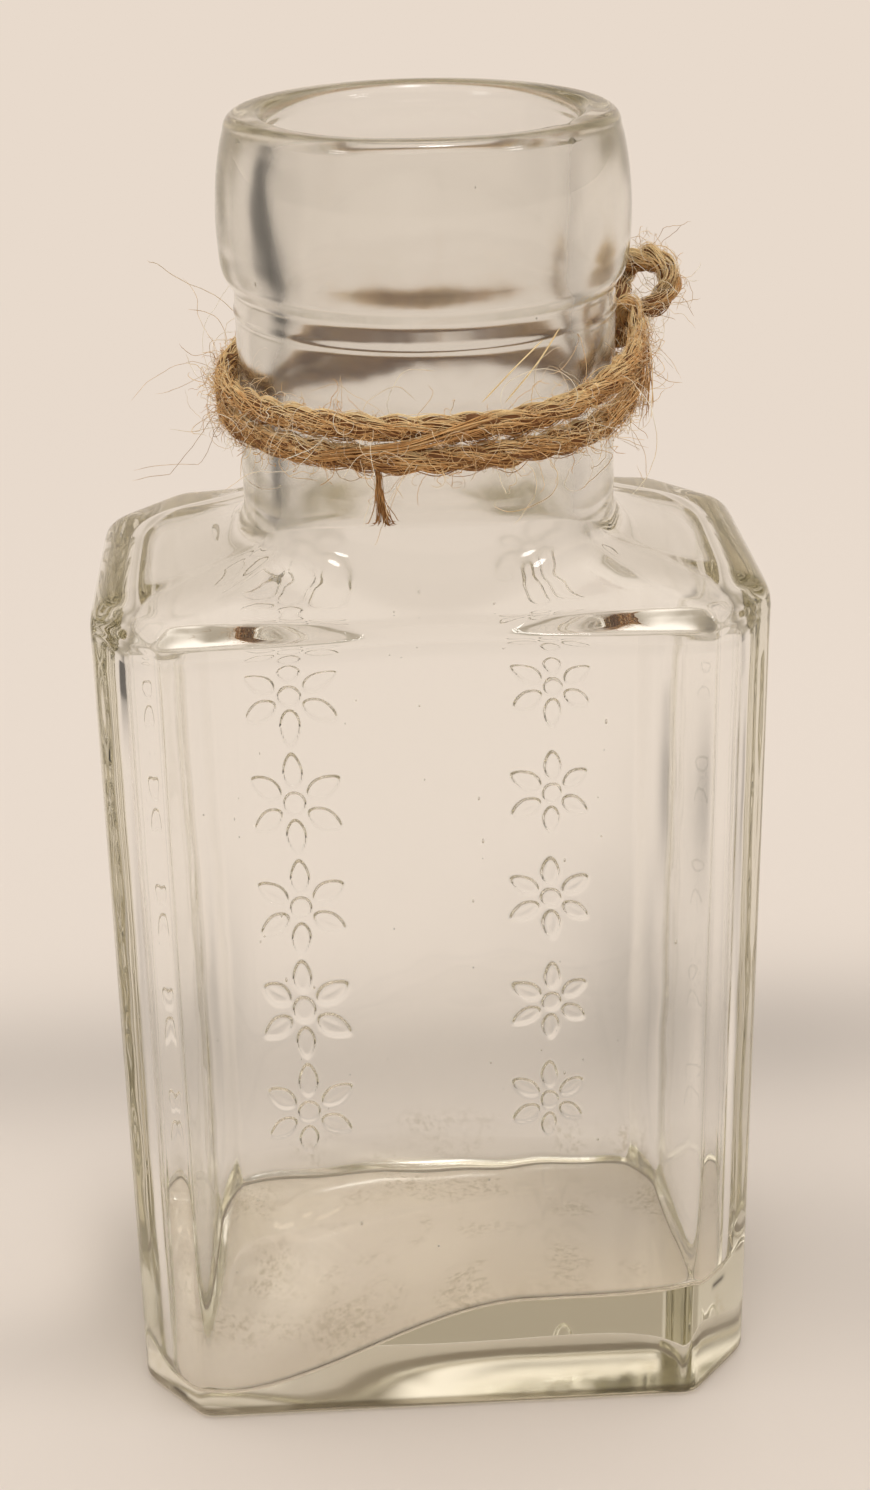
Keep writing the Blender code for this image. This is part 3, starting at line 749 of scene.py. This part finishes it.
def hairPaths(strand, count, longs, seed, curl, radii=(0.015, 0.030), steps=16, tangled=0.25, droop=0.03):
    draw = np.random.default_rng(seed)
    start = draw.uniform(0, strand.length, count)
    angle = draw.normal(0, 1.1, count)
    place = strand.at(start, 0.72 * np.cos(angle), 0.95 * np.sin(angle))  # on the strand's skin
    side, rise, way = (strand.read(table, start) for table in (strand.side, strand.rise, strand.way))
    head = side * (0.8 * np.abs(np.cos(angle)) + 0.15)[:, None] + rise * (np.sin(angle) * 1.2)[:, None] \
        + way * draw.normal(0, 0.9, count)[:, None] + draw.normal(0, 0.3, (count, 3))
    head = unit(head)
    long = longs[0] + (longs[1] - longs[0]) * draw.random(count) ** 2
    bend = unit(draw.normal(size=(count, 3))) * draw.uniform(0.05, curl, count)[:, None]
    path = [place]
    for step in range(steps):
        sway = draw.normal(0, tangled, (count, 3)) - np.array([0, 0, droop])
        head = unit(head + np.cross(head, bend) + sway)
        path.append(path[-1] + head * (long / steps)[:, None])
    return np.stack(path, 1), draw.uniform(*radii, count), draw.uniform(0.35, 1.0, count)


def clearOfGlass(paths, radii):  # nothing thin runs into the neck or the collar
    out = paths - neckPlace
    reach = np.hypot(out[..., 0], out[..., 1])
    besideNeck = g["neckRadius"] + radii[:, None] + w["fibreGap"]
    besideCollar = collarRadius + radii[:, None] + w["collarGap"]
    least = np.where(paths[..., 2] > collarFoot - w["underCollar"], besideCollar, besideNeck)
    out[..., :2] *= np.maximum(1, least / np.maximum(reach, 1e-6))[..., None]
    out[..., 2] = np.maximum(out[..., 2], w["fibresLowest"])
    return out + neckPlace


def tubeMesh(paths, radii, tones, sides=3, taper=0.15):  # many thin tubes of equal point count as one mesh
    way = unit(np.gradient(paths, axis=1))
    side = unit(np.cross(way, np.array([0.31, 0.17, 0.93])))
    rise = np.cross(way, side)
    count, steps = paths.shape[:2]
    share = np.linspace(0, 1, steps)
    size = radii[:, None] * np.minimum(1, taper + np.minimum(share, 1 - share) * 10)[None]
    angles = np.linspace(0, 2 * pi, sides, endpoint=False)
    points = paths[:, :, None] + (side[:, :, None] * np.cos(angles)[:, None]
                                  + rise[:, :, None] * np.sin(angles)[:, None]) * size[..., None, None]
    tones = np.broadcast_to(tones if tones.ndim == 2 else tones[:, None], (count, steps))
    return points.reshape(-1, 3), gridFaces(count, steps, sides), np.repeat(tones.reshape(-1), sides)


juteLooks = dict(
    hairs=((0.34, 0.18, 0.08), (0.88, 0.62, 0.35), (1.0, 0.92, 0.74)),
    brown=(0.29, 0.125, 0.038), tan=(0.80, 0.45, 0.17), golden=(1.0, 0.77, 0.42),
    coreShade=(0.20, 0.085, 0.03), patch=4.5 * mm, speck=0.5 * mm, roughness=0.7, bump=0.1 * mm,
    toneShare=0.55, patchShare=0.7, speckShare=0.35, range=(0.25, 1.05),
)


def makeJute(name, colours):
    looks = juteLooks
    material = bpy.data.materials.new(name)
    graph = Graph(material)
    tone = graph.add("Attribute", {"attribute_name": "tone"}, out=2)
    patch, speck = graph.grain(looks["patch"]), graph.grain(looks["speck"], 2.0)
    shade = tone * looks["toneShare"] + patch * looks["patchShare"] + (speck - 0.5) * looks["speckShare"]
    stops = list(zip((0.0, 0.5, 1.0), colours))
    colour = graph.add("ValToRGB", {"stops": stops}, {0: graph.ramp(shade, *looks["range"])})
    bump = graph.add("Bump", None, {"Height": speck, "Distance": looks["bump"], "Strength": 0.6})
    shader = graph.add("BsdfPrincipled", None, {
        "Base Color": colour, "Roughness": looks["roughness"], "Specular IOR Level": 0.25, "Normal": bump})
    graph.add("OutputMaterial", None, {"Surface": shader})
    return material


juteFibre = makeJute("juteFibre", (juteLooks["brown"], juteLooks["tan"], juteLooks["golden"]))
# the core's dark colour is painted shade, seen in the gaps between fibres
juteCoreShade = makeJute("juteCoreShade", (juteLooks["coreShade"], juteLooks["coreShade"], juteLooks["brown"]))
juteHair = makeJute("juteHair", juteLooks["hairs"])


def twinePiece(name, points, faces, material, tones, node=None):
    piece = makeObject(name, points * mm, faces, material, tones=tones)
    if node:
        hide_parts(node)
    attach(piece, "twine")
    return piece


def corePiece(name, strand, look, node):
    points, faces = coreTube(strand, look)
    return twinePiece(name, points, faces, juteCoreShade, np.zeros(len(points)), node)


def fibrePiece(name, parts, node=None, material=juteFibre):  # several sets of paths as one mesh of fibres
    start, points, faces, tones = 0, [], [], []
    for paths, radii, shades in parts:
        tube, skin, tints = tubeMesh(clearOfGlass(paths, radii), radii, shades)
        points.append(tube)
        faces.append(skin + start)
        tones.append(tints)
        start += len(tube)
    return twinePiece(name, np.vstack(points), np.vstack(faces), material, np.concatenate(tones), node)


looseFibres = dict(  # each route: degrees round the neck, height above the floor, distance from its axis
    fringe=dict(count=20, wide=(0.25, 1.3, 0.6), radii=(0.03, 0.055), seed=21, route=(
        (4, 103.4, 18.9), (-2, 101.2, 19.3), (-6, 98.4, 19.5), (-9, 95.8, 19.2))),
    backFringe=dict(count=36, wide=(0.3, 0.7, 0.6), radii=(0.03, 0.055), seed=25, route=(
        (17, 103.8, 18.5), (13, 102.0, 18.8), (9, 99.6, 19.0), (6, 97.4, 19.0))),
    bridges=dict(count=40, wide=(0.2, 0.2, 0.55), radii=(0.04, 0.07), seed=23, route=(
        (6, 100.8, 18.9), (-10, 99.6, 19.0), (-24, 98.4, 18.9), (-40, 97.0, 18.8))),
    bundle=dict(count=26, wide=(0.12, 0.12, 0.28), radii=(0.04, 0.07), seed=22, route=(
        (-122, 96.1, 18.9), (-115, 96.6, 18.9), (-103, 97.35, 18.9), (-95, 97.9, 18.9),
        (-85, 98.7, 18.9), (-76, 99.4, 18.9))),
    ply=dict(count=34, wide=(0.17, 0.15, 0.1), radii=(0.03, 0.065), seed=24, fray=3.0, route=(
        (-105.8, 95.4, 18.4), (-105.6, 94.0, 18.6), (-104.9, 92.6, 18.75), (-104.2, 91.3, 18.9),
        (-104.0, 90.3, 19.0))),
)
goldenFibres = dict(radius=0.075, points=20, routes=(
    ((-79, 101.0, 18.7), (-71, 103.5, 18.9), (-62, 105.6, 18.7)),
    ((-73, 100.8, 18.8), (-64, 103.9, 19.0), (-57, 106.4, 18.8))))
knotClimb = ((10, 104.0, 18.5), (6, 103.3, 18.75), (2, 102.5, 18.8), (-4, 101.7, 18.75), (-12, 100.9, 18.5),
             (-20, 100.2, 18.2))
knotTie = dict(turns=(-0.1, 1.1), points=24, long=1.2, out=0.5, high=1.0, tall=0.8)


def onRing(route):
    turns = [radians(angle) for angle, _, _ in route]
    return [np.array([neckPlace[0] + radius * cos(turn), radius * sin(turn), height])
            for turn, (_, height, radius) in zip(turns, route)]


def scatterFibres(route, count, wide, radii, seed, wave=0.5, fray=0.6, steps=22):  # loose ones, along a route
    draw = np.random.default_rng(seed)
    share = np.linspace(0, 1, steps)[None, :, None]
    shift = draw.normal(0, 1, (count, 1, 3)) * np.array(wide) * (0.7 + fray * share ** 3)
    phase, speed = draw.random((count, 1, 3)), draw.uniform(0.6, 1.8, (count, 1, 3))
    sway = wave * np.sin(2 * pi * (share * speed + phase)) * np.array(wide)
    paths = smoothPath(onRing(route), steps)[None] + shift + sway
    return paths, draw.uniform(*radii, count), draw.random(count)


def makeWraps():
    wraps = Strand(wrapRoute(), outward=fromNeck)
    core = corePiece("twine_strand", wraps, twist, "twine_wraps")
    loose = [scatterFibres(**looseFibres[name]) for name in ("fringe", "backFringe", "bridges", "bundle")]
    golden = [(smoothPath(onRing(route), goldenFibres["points"])[None], np.array([goldenFibres["radius"]]),
               np.array([1.0])) for route in goldenFibres["routes"]]
    fibres = fibrePiece("twine_fibres", [fibrePaths(wraps, twist)] + loose + golden)
    fuzz = fibrePiece("twine_fuzz", [hairPaths(wraps, **hairs["fuzz"])])
    stray = [hairPaths(wraps, **hairs["short"]), hairPaths(wraps, **hairs["long"])]
    return wraps, core, [fibres, fuzz, fibrePiece("twine_hairs", stray, None, juteHair)]


def shortStretch(name, strand, look, node, sets):  # core, fibres and stray hairs
    core = corePiece(name + "_strand", strand, look, node)
    stray = fibrePiece(name + "_hairs", [hairPaths(strand, **hairs[name])], None, juteHair)
    return [core, fibrePiece(name + "_fibres", [fibrePaths(*pair) for pair in sets]), stray]


def makeKnot():
    out, along, middle = knotFrame()
    knot, tie = Strand(onRing(knotClimb), outward=fromNeck), []
    for s in np.linspace(*knotTie["turns"], knotTie["points"]):
        turn = 2 * pi * s
        flat = along * knotTie["long"] * (s - 0.5) + out * knotTie["out"] * cos(turn)
        tie.append(middle + neckPlace + flat + (0, 0, knotTie["high"] + knotTie["tall"] * sin(turn)))
    return shortStretch("knot", knot, knotTwist, "twine_knot", [(knot, twist), (Strand(tie), knotTwist)])


def makeLoop():
    loop = Strand(loopRoute())
    return shortStretch("loop", loop, loopTwist, "hang_loop", [(loop, loopTwist)])


def makePly():
    paths, radii, tones = scatterFibres(**looseFibres["ply"])
    return fibrePiece("ply_fibres", [(paths, radii, tones * 0.3)], "loose_ply")


def makeTwine():
    wraps, core, others = makeWraps()
    others += makeKnot() + makeLoop() + [makePly()]
    print("twine made:", round(wraps.length), "mm round the neck")


makeTwine()


# Stage: a pale sheet of paper, in a room that only the glass sees, dark at its sides and bright above
stageLooks = dict(
    paper=(0.807, 0.700, 0.604), below=0.05 * mm, reach=6.0, nearEdge=0.16, farEdge=0.45,
    shades=((0, 49, 160, 16, 0.24), (46, 2, 14, 20, 0.15), (-45, -7, 16, 7, 0.10), (-38, 8, 6, 9, -0.10),
            (23, 8, 12, 14, 0.30), (-32, 8, 8, 14, 0.22),
            (44, 46, 18, 20, 0.08)),  # painted shadows under and beside the bottle and along the paper's fold, and a painted patch of light where the darkness is negative: x, y and two sizes in mm, and how dark
    glassShades=((105, 100, 35, 35, 0.6), (-84, 20, 22, 30, 0.3), (-45, 58, 13, 28, 0.3),
                 (40, 66, 20, 30, 0.32)),  # the same, for what the glass sees
    table=(0.10, 0.09, 0.08), tableLeft=(0.84, 1.25), tableRight=(0.9, 2.2, 0.0, 0.28),
    tableFrom=(0.16, 0.26), tableDeep=(0.0, 0.04),
    roomBack=(0.46, 0.39, 0.30), roomFront=(0.40, 0.35, 0.29), frontToBack=(-0.55, 0.35),
    roomSides=(0.15, 0.13, 0.11), sidesOut=(0.60, 0.92), sidesUp=(0.55, 0.25),
    paperAhead=(0.3, 0.8), paperUp=(0.42, 0.12),
    roomTop=(1.35, 1.22, 1.08), topUp=(0.5, 0.8), topAhead=(0.66, 0.46), topAside=(0.14, 0.26),
    windows=((-0.742, -0.564, 0.344), (-0.69, -0.46, 0.56), (0.743, -0.581, 0.331), (0.68, -0.46, 0.56)),
    windowSharpness=(9, 9, 22), windowLight=(12.0, 12.0, 12.0),
    roomLight=(0.52, 1.05), lampPlace=(0.05, -0.05, 0.80), lampSize=(0.12, 0.12), lampPower=0.8,
)


def makeStage():
    looks = stageLooks
    material = bpy.data.materials.new("floorPaper")
    graph = Graph(material)
    place = graph.add("NewGeometry")
    across = graph.add("SeparateXYZ", None, {0: place})
    deep, away = across.output(1), graph.vector("LENGTH", place, out=1)

    def shadeOf(spots):
        total = 0.0
        for x, y, wide, long, dark in spots:
            u, v = (across - x * mm) / (wide * mm), (deep - y * mm) / (long * mm)
            total = graph.maths("EXPONENT", (u * u + v * v) * -1.0) * dark + total
        return total

    # the paper's colour with painted shadows and one painted patch of light
    tint = graph.add("VectorMath", {"operation": "SCALE"},
                     {0: looks["paper"], "Scale": 1.0 - shadeOf(looks["shades"])})
    paper = graph.add("BsdfPrincipled", None, {
        "Base Color": tint, "Roughness": 0.9, "Specular IOR Level": 0.1})
    ray = graph.add("LightPath")
    inGlass = (ray.output(3) + ray.output(6)).atMost(1.0)
    aside = across / graph.maths("MAXIMUM", deep, 0.01)  # to the left and right of straight back
    beside = graph.ramp(aside * -1.0, *looks["tableLeft"]) + graph.ramp(aside, *looks["tableRight"])
    beside = beside * graph.ramp(away, *looks["tableFrom"]) * graph.ramp(deep, *looks["tableDeep"])
    table = (beside + shadeOf(looks["glassShades"])) * inGlass
    far = graph.ramp(away, looks["nearEdge"], looks["farEdge"]) * (ray + inGlass).atMost(1.0)
    share = (far + table).atMost(1.0)
    colour = graph.blend(table / (share + 0.001), looks["paper"], looks["table"])
    glow = graph.add("Emission", None, {"Color": colour, "Strength": 1.0})
    mixed = graph.add("MixShader", None, {0: share, 1: paper, 2: glow})
    graph.add("OutputMaterial", None, {"Surface": mixed})
    reach, low = looks["reach"], -looks["below"]
    corners = [(-reach, -reach, low), (reach, -reach, low), (reach, reach, low), (-reach, reach, low)]
    makeObject("floor", corners, [[0, 1, 2, 3]], material, smooth=False)


def makeLamp():
    place, target = Vector(stageLooks["lampPlace"]), Vector((0, 0, 0.05))
    data = bpy.data.lights.new("ceilingLamp", "AREA")
    data.shape = "RECTANGLE"
    data.size, data.size_y = stageLooks["lampSize"]
    data.energy = stageLooks["lampPower"]
    lamp = addObject("ceilingLamp", data)
    lamp.location = place
    lamp.rotation_mode = "QUATERNION"
    lamp.rotation_quaternion = (target - place).to_track_quat("-Z", "Y")


def makeWorld():
    looks = stageLooks
    world = bpy.data.worlds.new("studio")
    bpy.context.scene.world = world
    graph = Graph(world)
    looking = graph.add("TexCoord")
    across = graph.add("SeparateXYZ", None, {0: looking})
    ahead, up, sideways = across.output(1), across.output(2), graph.maths("ABSOLUTE", across)
    room = graph.blend(graph.ramp(ahead, *looks["frontToBack"]), looks["roomFront"], looks["roomBack"])
    aside = graph.ramp(sideways, *looks["sidesOut"]) * graph.ramp(up, *looks["sidesUp"])
    room = graph.blend(aside, room, looks["roomSides"])
    beyond = graph.ramp(ahead, *looks["paperAhead"]) * graph.ramp(up, *looks["paperUp"])
    room = graph.blend(beyond, room, looks["paper"])
    bright = graph.maths("MAXIMUM", graph.ramp(ahead, *looks["topAhead"]),
                         graph.ramp(sideways, *looks["topAside"]))
    room = graph.blend(bright * graph.ramp(up, *looks["topUp"]), room, looks["roomTop"])
    ray = graph.add("LightPath")
    for window in looks["windows"]:  # only reflections show them
        off = graph.vector("MULTIPLY", graph.vector("SUBTRACT", looking, window), looks["windowSharpness"])
        shown = graph.ramp(graph.vector("LENGTH", off, out=1), 1.0, 0.7) * ray.output(5)
        room = graph.blend(shown, room, looks["windowLight"])
    room = graph.blend(ray, room, looks["paper"])
    seen = (ray + ray.output(3) + ray.output(6)).atMost(1.0)
    level = graph.ramp(up, -0.1, 1.0, *looks["roomLight"])
    plain = graph.add("Background", None, {"Color": (1.0, 1.0, 1.0), "Strength": level})
    shown = graph.add("Background", None, {"Color": room, "Strength": 1.0})
    surface = graph.add("MixShader", None, {0: seen, 1: plain, 2: shown})
    graph.add("OutputWorld", None, {"Surface": surface})


makeStage()
makeLamp()
makeWorld()
print("stage made")

bpy.context.scene.view_settings.view_transform = "Standard"
cycles = bpy.context.scene.cycles  # light runs far round inside thick glass before it leaves
cycles.max_bounces, cycles.glossy_bounces, cycles.transmission_bounces = 32, 24, 24
